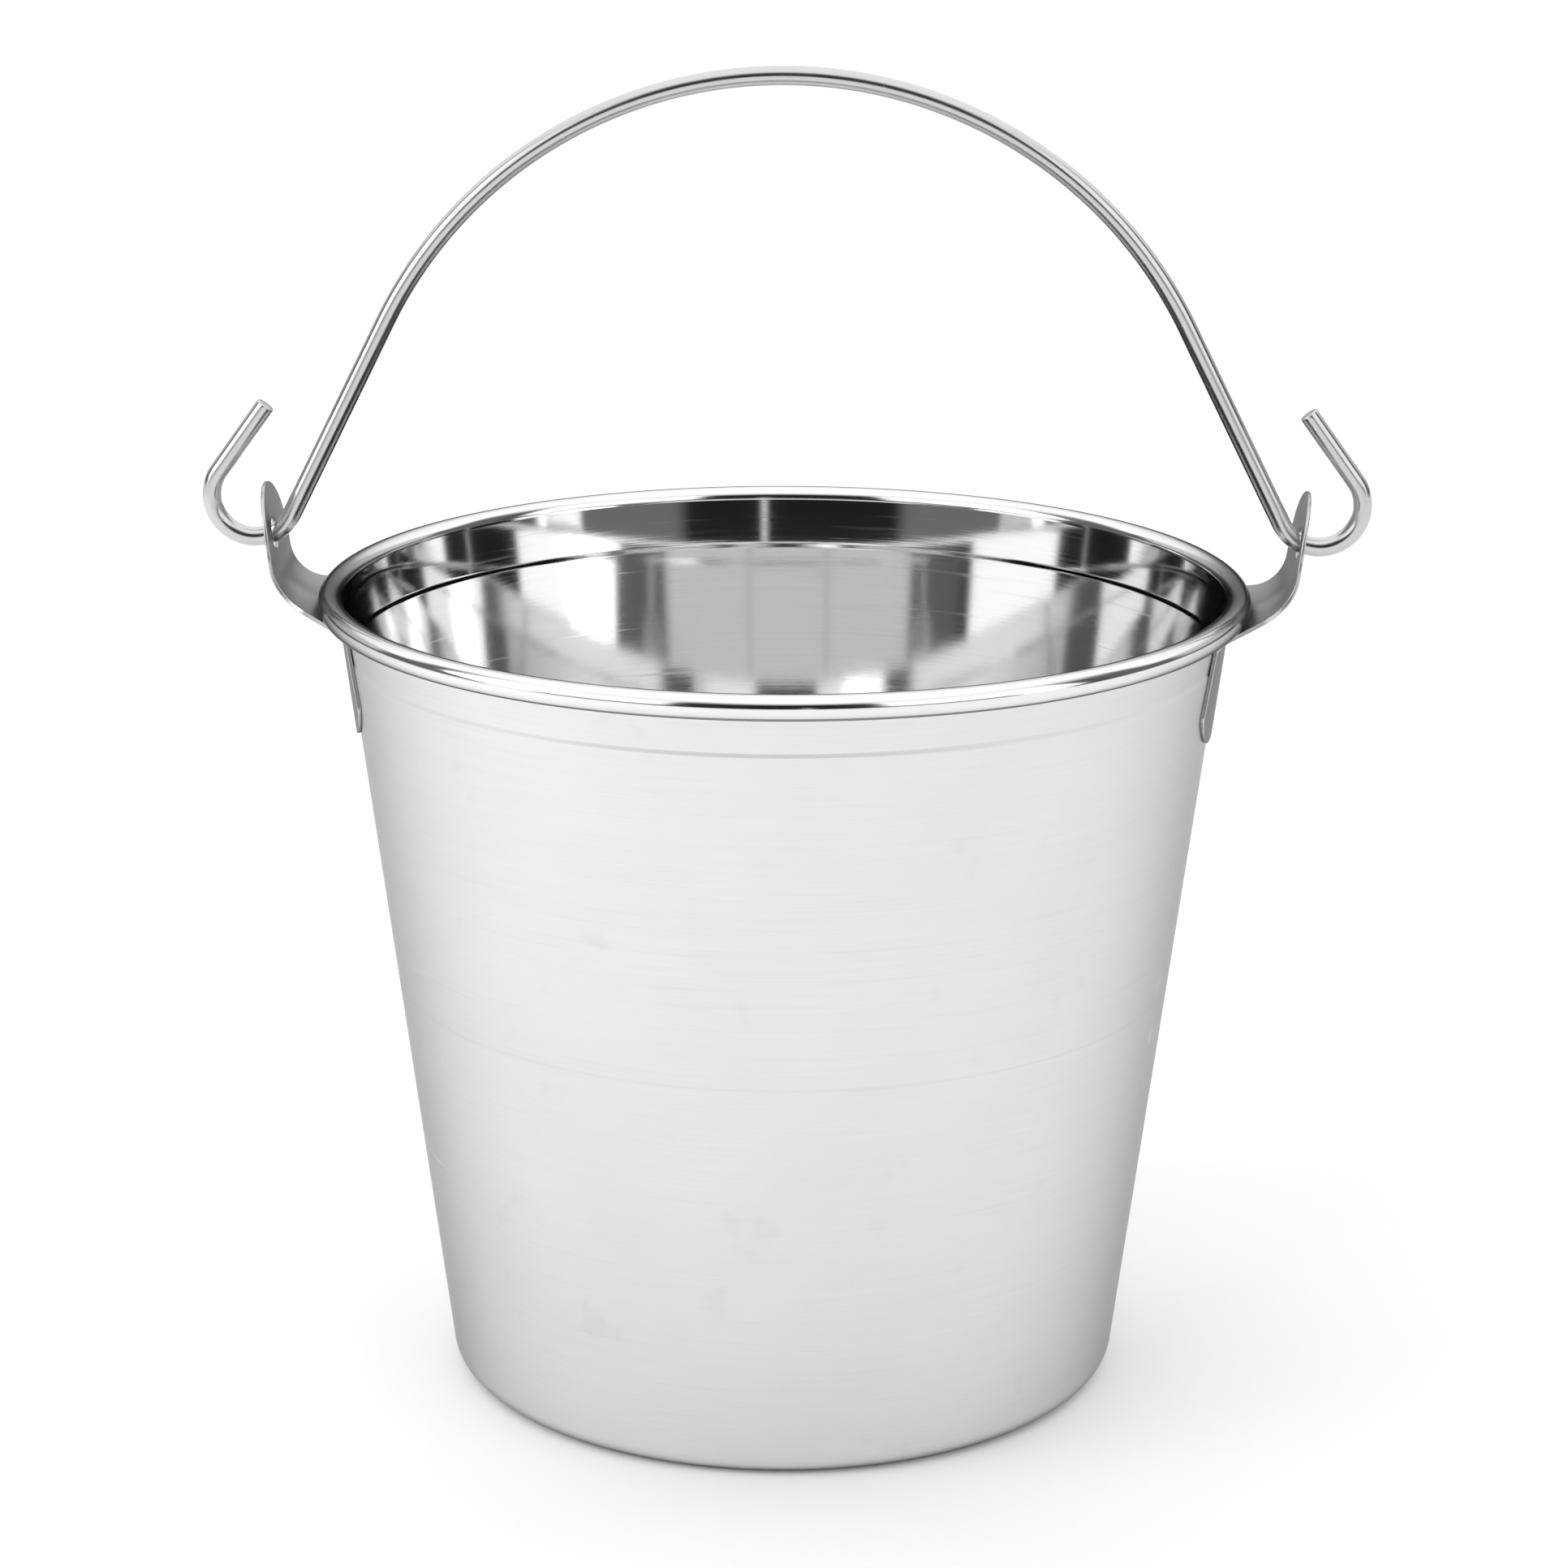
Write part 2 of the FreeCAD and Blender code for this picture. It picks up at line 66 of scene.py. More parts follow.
class Body(Enum):
    """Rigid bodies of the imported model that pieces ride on."""

    PAIL = "pail"
    HANDLE = "handle"


class Side(Enum):
    """Which side of the pail an ear is on; the value turns +X to that side."""

    RIGHT = 1.0
    LEFT = -1.0


# ------------------------------------------------------------------------------------------------
# Shader writing
# ------------------------------------------------------------------------------------------------
Value = Union["Wire", float]


@dataclass(frozen=True)
class Wire:
    """An output socket that can be used in Python arithmetic; each operator adds one Math node."""

    writer: "Shader"
    socket: Any

    def _math(self, operation: str, *values: Value) -> "Wire":
        """Add one Math node.

        Args:
            operation: the Math node's operation.
            values: its inputs in order.

        Returns:
            The node's output.
        """
        sockets = {index: value for index, value in enumerate(values)}
        return self.writer.node("ShaderNodeMath", {"operation": operation}, sockets)

    def __add__(self, other: Value) -> "Wire":
        """Sum."""
        return self._math("ADD", self, other)

    def __radd__(self, other: Value) -> "Wire":
        """Sum, reflected."""
        return self._math("ADD", other, self)

    def __sub__(self, other: Value) -> "Wire":
        """Difference."""
        return self._math("SUBTRACT", self, other)

    def __rsub__(self, other: Value) -> "Wire":
        """Difference, reflected."""
        return self._math("SUBTRACT", other, self)

    def __mul__(self, other: Value) -> "Wire":
        """Product."""
        return self._math("MULTIPLY", self, other)

    def __rmul__(self, other: Value) -> "Wire":
        """Product, reflected."""
        return self._math("MULTIPLY", other, self)

    def __truediv__(self, other: Value) -> "Wire":
        """Quotient."""
        return self._math("DIVIDE", self, other)

    def __abs__(self) -> "Wire":
        """Size without its sign."""
        return self._math("ABSOLUTE", self)

    def ramp(self, low: float, high: float) -> "Wire":
        """Smooth step.

        Args:
            low: value that gives 0.
            high: value that gives 1.

        Returns:
            0 at low and 1 at high, eased at both ends.
        """
        settings = {"interpolation_type": "SMOOTHSTEP"}
        sockets = {"Value": self, "From Min": low, "From Max": high}
        return self.writer.node("ShaderNodeMapRange", settings, sockets, "Result")

    def bell(self, middle: float, width: float) -> "Wire":
        """Smooth hump.

        Args:
            middle: value where the hump is 1.
            width: distance from the middle at which it is down to 0.

        Returns:
            1 at the middle and 0 past the width on both sides.
        """
        return abs(self - middle).ramp(width, 0.0)


@dataclass
class Shader:
    """Writes the nodes of one material or world."""

    tree: Any

    def node(self, kind: str, settings: dict[str, Any], sockets: dict[Any, Any],
             output: Union[str, int] = 0) -> Wire:
        """Add any node.

        Args:
            kind: the node's type.
            settings: its properties, set before the sockets.
            sockets: values or wires by socket name or number.
            output: name or number of the output that is wanted.

        Returns:
            That output.
        """
        made = self.tree.nodes.new(kind)
        for name, setting in settings.items():
            setattr(made, name, setting)
        for name, value in sockets.items():
            if isinstance(value, Wire):
                self.tree.links.new(value.socket, made.inputs[name])
            else:
                made.inputs[name].default_value = value
        return Wire(self, made.outputs[output])

    def place(self, source: str = "Object") -> Wire:
        """Coordinates of the surface, by the Texture Coordinate node's output name."""
        return self.node("ShaderNodeTexCoord", {}, {}, source)

    def stretched(self, place: Wire, scale: Sequence[float]) -> Wire:
        """Coordinates scaled along each axis."""
        return self.node("ShaderNodeMapping", {}, {"Vector": place, "Scale": tuple(scale)})

    def parts(self, place: Wire) -> tuple[Wire, Wire, Wire]:
        """The three numbers of a vector."""
        first = self.node("ShaderNodeSeparateXYZ", {}, {"Vector": place})
        outputs = first.socket.node.outputs
        return first, Wire(self, outputs[1]), Wire(self, outputs[2])

    def noise(self, place: Wire, scale: float, detail: float = 4.0, roughness: float = 0.55) -> Wire:
        """Fractal noise.

        Args:
            place: coordinates.
            scale: features per metre of the coordinates.
            detail: octaves.
            roughness: strength of each octave against the last.

        Returns:
            Noise from 0 to 1, mostly near 0.5.
        """
        sockets = {"Vector": place, "Scale": scale, "Detail": detail, "Roughness": roughness}
        return self.node("ShaderNodeTexNoise", {}, sockets, "Fac")

    def mix_colour(self, factor: Value, first: Any, second: Any) -> Wire:
        """Blend of two colours.

        Args:
            factor: 0 for the first and 1 for the second.
            first: colour or wire.
            second: colour or wire.

        Returns:
            The blended colour.
        """
        sockets = {"Factor": factor, 6: first, 7: second}
        return self.node("ShaderNodeMix", {"data_type": "RGBA"}, sockets, 2)

    def bump(self, height: Wire, distance: float, strength: float = 1.0) -> Wire:
        """Normal tilted by a height.

        Args:
            height: height map, 0 to 1.
            distance: real height of 1, in metres.
            strength: share of the tilt that is used.

        Returns:
            The tilted normal.
        """
        sockets = {"Height": height, "Distance": distance, "Strength": strength}
        return self.node("ShaderNodeBump", {}, sockets, "Normal")


def new_material(name: str) -> tuple[Any, Shader, Any]:
    """Make a node material.

    Args:
        name: the material's name.

    Returns:
        The material, its shader writer and its Principled node.
    """
    material = bpy.data.materials.new(name)
    material.use_nodes = True
    principled = material.node_tree.nodes["Principled BSDF"]
    return material, Shader(material.node_tree), principled


def feed(shader: Shader, principled: Any, **sockets: Any) -> None:
    """Set or link sockets of the Principled node.

    Args:
        shader: writer of the material.
        principled: its Principled node.
        sockets: values or wires by socket name, with underscores for spaces.
    """
    for key, value in sockets.items():
        target = principled.inputs[key.replace("_", " ")]
        if isinstance(value, Wire):
            shader.tree.links.new(value.socket, target)
        else:
            target.default_value = value


def grey(level: float) -> tuple[float, float, float, float]:
    """Neutral colour of one level."""
    return (level, level, level, 1.0)


# ------------------------------------------------------------------------------------------------
# Finishes
# ------------------------------------------------------------------------------------------------
@dataclass(frozen=True)
class SpunSheet:
    """Bright drawn sheet, brushed round the pail's axis."""

    name: str
    level: float = 0.80
    roughness: float = 0.24
    drag: float = 0.75              # how much longer highlights are across the brushing
    grain: float = 0.5              # depth of the brushed grain, in thousandths of a millimetre
    mottle: float = 0.05            # change of roughness over the sheet
    pucker: float = 0.0             # depth of the drawing marks under the rim, likewise
    smudge: float = 0.0             # dulled spots left by handling
    edge: float = 1.0               # tint of the reflection near grazing
    pucker_level: float = 238.0 * MM
    pucker_reach: float = 30.0 * MM
    ring_level: float = 132.5 * MM  # faint line left round the wall by drawing
    ring_width: float = 0.7 * MM

    def build(self) -> Any:
        """Write the material and return it."""
        material, shader, principled = new_material(self.name)
        place = shader.place()
        _, _, level = shader.parts(place)
        fine = shader.noise(shader.stretched(place, (18, 18, 3200)), 1.0, 5.0, 0.62)
        coarse = shader.noise(shader.stretched(place, (9, 9, 420)), 1.0, 4.0, 0.6)
        cloud = shader.noise(place, 26.0, 3.0)
        streak = shader.noise(shader.stretched(place, (260, 260, 7)), 1.0, 3.0)
        collar = level.bell(self.pucker_level, self.pucker_reach)
        ring = level.bell(self.ring_level, self.ring_width)
        scratch = shader.noise(shader.stretched(place, (14, 14, 900)), 1.0, 2.0)
        scratches = scratch.ramp(0.62, 0.72)
        spots = shader.noise(place, 55.0, 2.0).ramp(0.66, 0.74)

        roughness = self.roughness + self.mottle * (cloud - 0.5) + 0.10 * (fine - 0.5)
        roughness = roughness + 0.05 * scratches + self.smudge * spots
        dark = 0.18 * (coarse - 0.5) + 0.60 * (fine - 0.5) + 0.35 * (cloud - 0.5)
        dark = dark + 0.10 * scratches + 0.30 * ring + self.smudge * spots
        colour = shader.mix_colour(0.5 + dark, grey(self.level * 1.06), grey(self.level * 0.90))
        height = self.grain * (fine + 1.6 * coarse - 0.5 * scratches) + self.pucker * collar * streak
        normal = shader.bump(height, 10 * MICRON)
        feed(shader, principled, Base_Color=colour, Metallic=1.0, Roughness=roughness,
             Anisotropic=self.drag, Normal=normal)
        principled.inputs["Specular Tint"].default_value = grey(self.edge)
        return material


@dataclass(frozen=True)
class PolishedEdge:
    """Polished rolled rim with faint lines round it."""

    name: str
    level: float = 0.80
    roughness: float = 0.12
    edge: float = 0.10              # tint of the reflection near grazing

    def build(self) -> Any:
        """Write the material and return it."""
        material, shader, principled = new_material(self.name)
        place = shader.place()
        lines = shader.noise(shader.stretched(place, (20, 20, 2600)), 1.0, 4.0)
        cloud = shader.noise(place, 40.0, 3.0)
        roughness = self.roughness + 0.06 * (cloud - 0.5) + 0.06 * (lines - 0.5)
        colour = shader.mix_colour(cloud, grey(self.level * 1.02), grey(self.level * 0.94))
        feed(shader, principled, Base_Color=colour, Metallic=1.0, Roughness=roughness,
             Normal=shader.bump(lines, 4 * MICRON))
        principled.inputs["Specular Tint"].default_value = grey(self.edge)
        return material


@dataclass(frozen=True)
class PressedSheet:
    """Satin pressed sheet of the ears."""

    name: str
    level: float = 0.54
    roughness: float = 0.32
    edge: float = 0.25              # tint of the reflection near grazing

    def build(self) -> Any:
        """Write the material and return it."""
        material, shader, principled = new_material(self.name)
        place = shader.place()
        grain = shader.noise(shader.stretched(place, (700, 60, 700)), 1.0, 4.0)
        cloud = shader.noise(place, 90.0, 4.0)
        pits = shader.noise(place, 900.0, 2.0).ramp(0.62, 0.75)
        roughness = self.roughness + 0.12 * (cloud - 0.5) + 0.08 * (grain - 0.5) + 0.10 * pits
        colour = shader.mix_colour(cloud, grey(self.level * 1.06), grey(self.level * 0.90))
        height = grain + 0.8 * cloud - 0.3 * pits
        feed(shader, principled, Base_Color=colour, Metallic=1.0, Roughness=roughness,
             Normal=shader.bump(height, 8 * MICRON))
        principled.inputs["Specular Tint"].default_value = grey(self.edge)
        return material


@dataclass(frozen=True)
class DrawnWire:
    """Bright drawn wire with fine lines along it; reads the piece's own UV map in metres."""

    name: str
    level: float = 0.56
    roughness: float = 0.20

    def build(self) -> Any:
        """Write the material and return it."""
        material, shader, principled = new_material(self.name)
        along = shader.place("UV")
        lines = shader.noise(shader.stretched(along, (12, 2600, 1)), 1.0, 4.0)
        cloud = shader.noise(shader.stretched(along, (60, 160, 1)), 1.0, 3.0)
        nicks = shader.noise(shader.stretched(along, (240, 420, 1)), 1.0, 2.0).ramp(0.70, 0.76)
        roughness = self.roughness + 0.10 * (cloud - 0.5) + 0.08 * (lines - 0.5) + 0.15 * nicks
        colour = shader.mix_colour(0.7 * cloud + 0.3 * nicks, grey(self.level * 1.05),
                                   grey(self.level * 0.88))
        height = lines + 0.5 * cloud - 0.6 * nicks
        feed(shader, principled, Base_Color=colour, Metallic=1.0, Roughness=roughness,
             Normal=shader.bump(height, 6 * MICRON))
        return material


# ------------------------------------------------------------------------------------------------
# Surfaces
# ------------------------------------------------------------------------------------------------
def rounded_path(corners: Array, radii: Sequence[float], steps: int) -> Array:
    """Line through corners, with each inner corner rounded by an arc.

    An arc of radius r between two straight runs that turn through an angle a starts r tan(a/2) before
    the corner; its centre lies r from both runs, on the inside of the turn.

    Args:
        corners: corner points, n by 2.
        radii: radius at each inner corner, n - 2 of them.
        steps: straight steps that each arc is drawn in.

    Returns:
        The path's two ends and every arc's points, m by 2.
    """
    pieces = [corners[:1]]
    for before, corner, after, radius in zip(corners, corners[1:], corners[2:], radii):
        come = (corner - before) / np.linalg.norm(corner - before)
        leave = (after - corner) / np.linalg.norm(after - corner)
        turn = math.atan2(come[0] * leave[1] - come[1] * leave[0], float(come @ leave))
        start = corner - come * radius * math.tan(abs(turn) / 2)
        side = np.array([-come[1], come[0]]) * math.copysign(1.0, turn)
        centre = start + side * radius
        swept = np.linspace(0.0, turn, steps + 1)[:, None]
        spoke = start - centre
        square = np.array([-spoke[1], spoke[0]])
        pieces.append(centre + spoke * np.cos(swept) + square * np.sin(swept))
    pieces.append(corners[-1:])
    return np.concatenate(pieces)


def filled(points: Array, spacing: float, guard: float) -> Array:
    """Polyline with more points in its long straight runs, none of them moved.

    A long run gets one point close to each end, which keeps the bends' shading off it, and even points
    between those two.

    Args:
        points: polyline, n by k.
        spacing: longest step that is left.
        guard: distance of the close points from the run's ends.

    Returns:
        The polyline with the added points.
    """
    pieces = [points[:1]]
    for start, end in zip(points, points[1:]):
        length = float(np.linalg.norm(end - start))
        if length > 3 * guard:
            count = int(math.ceil((length - 2 * guard) / spacing)) + 1
            share = np.linspace(guard, length - guard, count)[:, None] / length
            pieces.append(start + share * (end - start))
        pieces.append(end[None])
    return np.concatenate(pieces)


def respaced(points: Array, spacing: float) -> Array:
    """Points moved to even distances along their polyline.

    Args:
        points: polyline, n by k.
        spacing: wanted distance between points.

    Returns:
        Evenly spaced points from the first to the last.
    """
    lengths = run_along(points)
    count = max(2, int(math.ceil(lengths[-1] / spacing)) + 1)
    at = np.linspace(0.0, lengths[-1], count)
    return np.stack([np.interp(at, lengths, column) for column in points.T], axis=1)


def run_along(points: Array) -> Array:
    """Distance of each point along its polyline."""
    steps = np.linalg.norm(np.diff(points, axis=0), axis=1)
    return np.concatenate([[0.0], np.cumsum(steps)])


def left_normals(points: Array) -> Array:
    """Unit vectors square to a flat path, on its left hand."""
    along = np.gradient(points, axis=0)
    along /= np.linalg.norm(along, axis=1)[:, None]
    return np.stack([-along[:, 1], along[:, 0]], axis=1)


@dataclass(frozen=True)
class Grid:
    """Quads over a grid of points, rows by columns, with optional joins.

    Row i meets row i + 1, and column j meets column j + 1. A closed grid also joins its last row or
    column to the first.
    """

    points: Array
    close_rows: bool = False
    close_columns: bool = False

    def faces(self) -> tuple[Array, Array]:
        """Corner numbers of every quad, and the row of each, in one go.

        Returns:
            Quads as n by 4 vertex numbers, and n row numbers.
        """
        rows, columns = self.points.shape[:2]
        i = np.arange(rows if self.close_rows else rows - 1)[:, None]
        j = np.arange(columns if self.close_columns else columns - 1)[None, :]
        i2, j2 = (i + 1) % rows, (j + 1) % columns
        quads = np.stack(np.broadcast_arrays(i * columns + j, i * columns + j2,
                                             i2 * columns + j2, i2 * columns + j), axis=-1)
        row_of = np.broadcast_to(i, quads.shape[:2])
        return quads.reshape(-1, 4), row_of.reshape(-1)

    def make(self, name: str, lengths: tuple[float, float] = (1.0, 1.0)) -> tuple[Any, Array]:
        """Build the object.

        Args:
            name: the piece's name.
            lengths: real size of the grid along its rows and columns, for the UV map.

        Returns:
            The object and the row number of each face.
        """
        rows, columns = self.points.shape[:2]
        quads, row_of = self.faces()
        flat = self.points.reshape(-1, 3)
        mesh = bpy.data.meshes.new(name)
        mesh.vertices.add(len(flat))
        mesh.vertices.foreach_set("co", flat.astype(np.float32).ravel())
        mesh.loops.add(quads.size)
        mesh.loops.foreach_set("vertex_index", quads.astype(np.int32).ravel())
        mesh.polygons.add(len(quads))
        mesh.polygons.foreach_set("loop_start", np.arange(len(quads), dtype=np.int32) * 4)
        mesh.update(calc_edges=True)
        self.write_uv(mesh, quads, lengths, rows, columns)
        mesh.polygons.foreach_set("use_smooth", np.ones(len(quads), dtype=bool))
        piece = bpy.data.objects.new(name, mesh)
        bpy.context.scene.collection.objects.link(piece)
        return piece, row_of

    def write_uv(self, mesh: Any, quads: Array, lengths: tuple[float, float], rows: int,
                 columns: int) -> None:
        """Give the mesh a UV map in metres, row length by column length.

        Args:
            mesh: mesh with one loop per quad corner, in order.
            quads: vertex numbers of the quads.
            lengths: real size along rows and columns.
            rows: number of rows.
            columns: number of columns.
        """
        i, j = quads // columns, quads % columns
        i = np.where((i == 0) & (i[:, :1] > 0), rows, i)
        j = np.where((j == 0) & (j[:, :1] > 0), columns, j)
        u = i * (lengths[0] / rows)
        v = j * (lengths[1] / columns)
        layer = mesh.uv_layers.new(name="along")
        layer.data.foreach_set("uv", np.stack([u, v], axis=-1).astype(np.float32).ravel())


def close_poles(piece: Any) -> None:
    """Merge the points of each pole's ring, which lie in one place."""
    sheet = bmesh.new()
    sheet.from_mesh(piece.data)
    bmesh.ops.remove_doubles(sheet, verts=sheet.verts, dist=MERGE_DISTANCE)
    sheet.to_mesh(piece.data)
    sheet.free()


# ------------------------------------------------------------------------------------------------
# Shell
# ------------------------------------------------------------------------------------------------
@dataclass
class Shell:
    """Drawn pail: one sheet's centre line, from the bottom's middle to the rolled rim's free edge."""

    sheet: float = 0.7 * MM
    base_radius: float = 107.9 * MM
    curl_radius: float = 3.9 * MM
    curl_turn: float = 325.0
    corner_radius: float = 7.5 * MM
    collar_height: float = 19.0 * MM
    shoulder_height: float = 1.5 * MM
    collar_set: float = 0.35 * MM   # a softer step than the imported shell's 0.6
    shoulder_round: float = 2.0 * MM
    foot_width: float = 9.0 * MM
    dish_depth: float = 1.5 * MM
    dish_slope: float = 5.0 * MM
    dish_round: float = 3.0 * MM
    spacing: float = 8.0 * MM
    guard: float = 0.3 * MM
    bend_steps: int = 8
    around: int = 288
    outer: SpunSheet = SpunSheet("outer_sheet", level=0.735, roughness=0.34, drag=0.6,
                                 grain=0.25, pucker=1.2, smudge=0.08, edge=0.32)
    inner: SpunSheet = SpunSheet("inner_sheet", level=0.82, roughness=0.055, drag=0.7,
                                 grain=0.16, mottle=0.03)
    rim: PolishedEdge = PolishedEdge("polished_rim")

    def __post_init__(self) -> None:
        """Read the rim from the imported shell."""
        low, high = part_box("pail_body")
        self.rim_height = float(high[2])
        self.rim_radius = float(high[1] - low[1]) / 2

    def wall_radius(self, level: float) -> float:
        """Outer radius of the wall's straight line at a level."""
        top = self.rim_radius - 2 * self.curl_radius + self.sheet
        taper = (top - self.base_radius) / (self.rim_height - self.curl_radius)
        return self.base_radius + taper * level

    def centre_line(self) -> tuple[Array, int]:
        """Centre line of the sheet in radius and level.

        The outer corners are set in by half the sheet along the two runs that meet there, each bend is
        rounded, and the rolled rim follows as an arc about its own centre.

        Returns:
            Points from the bottom's middle to the curl's free edge, and how many belong to the wall.
        """
        half = self.sheet / 2
        ring = self.base_radius - self.corner_radius - self.foot_width
        root = self.rim_height - self.collar_height
        foot = root - self.shoulder_height
        curl_level = self.rim_height - self.curl_radius
        corners = np.array([
            [0.0, self.dish_depth],
            [ring - self.dish_slope, self.dish_depth],
            [ring, 0.0],
            [self.base_radius, 0.0],
            [self.wall_radius(foot), foot],
            [self.wall_radius(root) - self.collar_set, root],
            [self.wall_radius(curl_level), curl_level],
        ])
        runs = np.diff(corners, axis=0)
        runs /= np.linalg.norm(runs, axis=1)[:, None]
        left = np.stack([-runs[:, 1], runs[:, 0]], axis=1)
        joined = left[:-1] + left[1:]
        joined /= np.sum(joined * left[1:], axis=1)[:, None]
        moved = corners + half * np.concatenate([left[:1], joined, left[-1:]])
        moved[-1] = [self.wall_radius(curl_level) - half, curl_level]
        radii = [self.dish_round, self.dish_round, self.corner_radius - half,
                 self.shoulder_round, self.shoulder_round]
        bent = rounded_path(moved, radii, self.bend_steps)
        wall = filled(bent, self.spacing, self.guard)
        centre = np.array([self.rim_radius - self.curl_radius, curl_level])
        turned = np.radians(np.linspace(0.0, self.curl_turn, 49))[1:]
        reach = self.curl_radius - half
        curl = centre + reach * np.stack([-np.cos(turned), np.sin(turned)], axis=1)
        return np.concatenate([wall, curl]), len(wall)

    def build(self) -> Any:
        """Turn the sheet's section about the axis and dress it.

        The section runs up the inner face, round the free edge of the curl and back down the outer face,
        each point half the sheet from the centre line. Point (i, j) is section point i turned through
        the j-th share of a full turn.

        Returns:
            The shell's object.
        """
        line, wall_points = self.centre_line()
        normal = left_normals(line)
        half = self.sheet / 2
        normal[0] = (0.0, 1.0)
        inner = line + half * normal
        outer = line - half * normal
        swing = np.radians(np.linspace(0.0, 180.0, 7))[1:-1, None]
        tangent = np.array([normal[-1][1], -normal[-1][0]])
        edge = line[-1] + half * (np.cos(swing) * normal[-1] + np.sin(swing) * tangent)
        section = np.concatenate([inner, edge, outer[::-1]])
        turn = np.linspace(0.0, 2 * math.pi, self.around, endpoint=False) + math.pi / 2
        radius, level = section[:, :1], section[:, 1:]
        points = np.stack([radius * np.cos(turn), radius * np.sin(turn),
                           np.broadcast_to(level, (len(section), self.around))], axis=-1)
        piece, row_of = Grid(points, close_columns=True).make("shell")
        for finish in (self.outer, self.inner, self.rim):
            piece.data.materials.append(finish.build())
        total = len(section)
        kind = np.zeros(len(row_of), dtype=np.int32)
        kind[row_of < wall_points] = 1
        kind[(row_of >= wall_points) & (row_of < total - wall_points - 1)] = 2
        piece.data.polygons.foreach_set("material_index", kind)
        close_poles(piece)
        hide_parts("pail_body")
        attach(piece, Body.PAIL.value)
        return piece


# ------------------------------------------------------------------------------------------------
# Ears
# ------------------------------------------------------------------------------------------------
@dataclass
class Ear:
    """Pressed ear: lug on the wall, neck under the rim, and a tab with the bail's eye in it."""

    side: Side
    shell: Shell
    sheet: float = 1.2 * MM
    weld_gap: float = 0.05 * MM
    lug_drop: float = 45.0 * MM
    lug_half_width: float = 44.5 * MM
    lug_corner: float = 22.0 * MM
    neck_clearance: float = 0.9 * MM
    neck_angle: float = math.radians(20.6)
    neck_bend: float = 4.0 * MM
    neck_reach: float = 9.5 * MM
    flange_angle: float = math.radians(41.6)
    flange_round: float = 25.0 * MM
    tab_bend: float = 15.0 * MM
    tab_lean: float = math.radians(7.0)
    tab_radius: float = 18.5 * MM
    tab_flare: float = 3.5 * MM
    tab_foot: float = 3.0 * MM
    tab_rise: float = 16.3 * MM
    eye_reach: float = 15.3 * MM
    eye_radius: float = 5.0 * MM
    edge_round: float = 0.4 * MM
    gutter: float = 0.35 * MM
    gutter_width: float = 6.5 * MM
    gutter_foot: float = 34.0 * MM
    gutter_rise: float = 16.0 * MM
    gutter_top: float = 2.0 * MM
    gutter_fall: float = 10.0 * MM
    spacing: float = 0.25 * MM
    bend_steps: int = 32
    around: int = 360
    across: int = 40
    finish: PressedSheet = PressedSheet("ear_sheet")

    def __post_init__(self) -> None:
        """Read the eye's level from the bail's joint."""
        swing = next(joint for joint in frame["joints"] if joint["name"] == "bail_swing")
        self.eye_level = float(swing["pos_m"][2])
        self.eye_x = self.shell.rim_radius + self.eye_reach
        self.tab_top = self.eye_level + self.tab_rise
        self.foot_level = self.shell.rim_height - self.lug_drop

    def profile(self) -> Array:
        """Middle of the bent strip in radius and level, from the lug's foot to the tab's top.

        The lug's line runs beside the wall, the neck's line touches a circle round the rolled rim, and
        the tab's line leans through the eye; each pair meets in a rounded corner.

        Returns:
            Points along the strip.
        """
        shell = self.shell
        half = self.sheet / 2
        curl_level = shell.rim_height - shell.curl_radius
        taper = (shell.wall_radius(curl_level) - shell.base_radius) / curl_level
        lug_at_floor = shell.base_radius + (self.weld_gap + half) * math.hypot(1.0, taper)
        around = shell.curl_radius + self.neck_clearance + half
        sine, cosine = math.sin(self.neck_angle), math.cos(self.neck_angle)
        near_r = shell.rim_radius - shell.curl_radius + around * sine
        near_z = curl_level - around * cosine
        lean = math.tan(self.tab_lean)
        to_lug = (lug_at_floor + taper * near_z - near_r) / (cosine - taper * sine)
        to_tab = (self.eye_x + (near_z - self.eye_level) * lean - near_r) / (cosine - lean * sine)
        corners = np.array([
            [lug_at_floor + taper * self.foot_level, self.foot_level],
            [near_r + to_lug * cosine, near_z + to_lug * sine],
            [near_r + to_tab * cosine, near_z + to_tab * sine],
            [self.eye_x + (self.tab_top - self.eye_level) * lean, self.tab_top],
        ])
        bends = [self.neck_bend + half, self.tab_bend + half]
        return respaced(rounded_path(corners, bends, self.bend_steps), self.spacing)

    def half_widths(self, profile: Array) -> Array:
        """Half the ear's width at each point of its profile.

        In front view the lug has rounded lower corners and the tab a round top on flared sides. In plan
        the neck narrows along a slanted edge that runs into the tab in a hollow curve. The narrower of
        the two holds.

        Args:
            profile: middle of the strip in radius and level.

        Returns:
            Half-widths, one per point.
        """
        radius, level = profile.T
        corner_level = self.foot_level + self.lug_corner
        below = np.clip(corner_level - level, 0.0, self.lug_corner)
        lug = self.lug_half_width - self.lug_corner + np.sqrt(self.lug_corner ** 2 - below ** 2)
        step = self.shell.rim_height - self.tab_foot
        crown = self.tab_top - self.tab_radius
        share = np.clip((crown - level) / (crown - step), 0.0, 1.0)
        above = np.clip(level - crown, 0.0, self.tab_radius)
        tab = np.sqrt(self.tab_radius ** 2 - above ** 2) + self.tab_flare * share
        front = np.where(level < step, lug, tab)

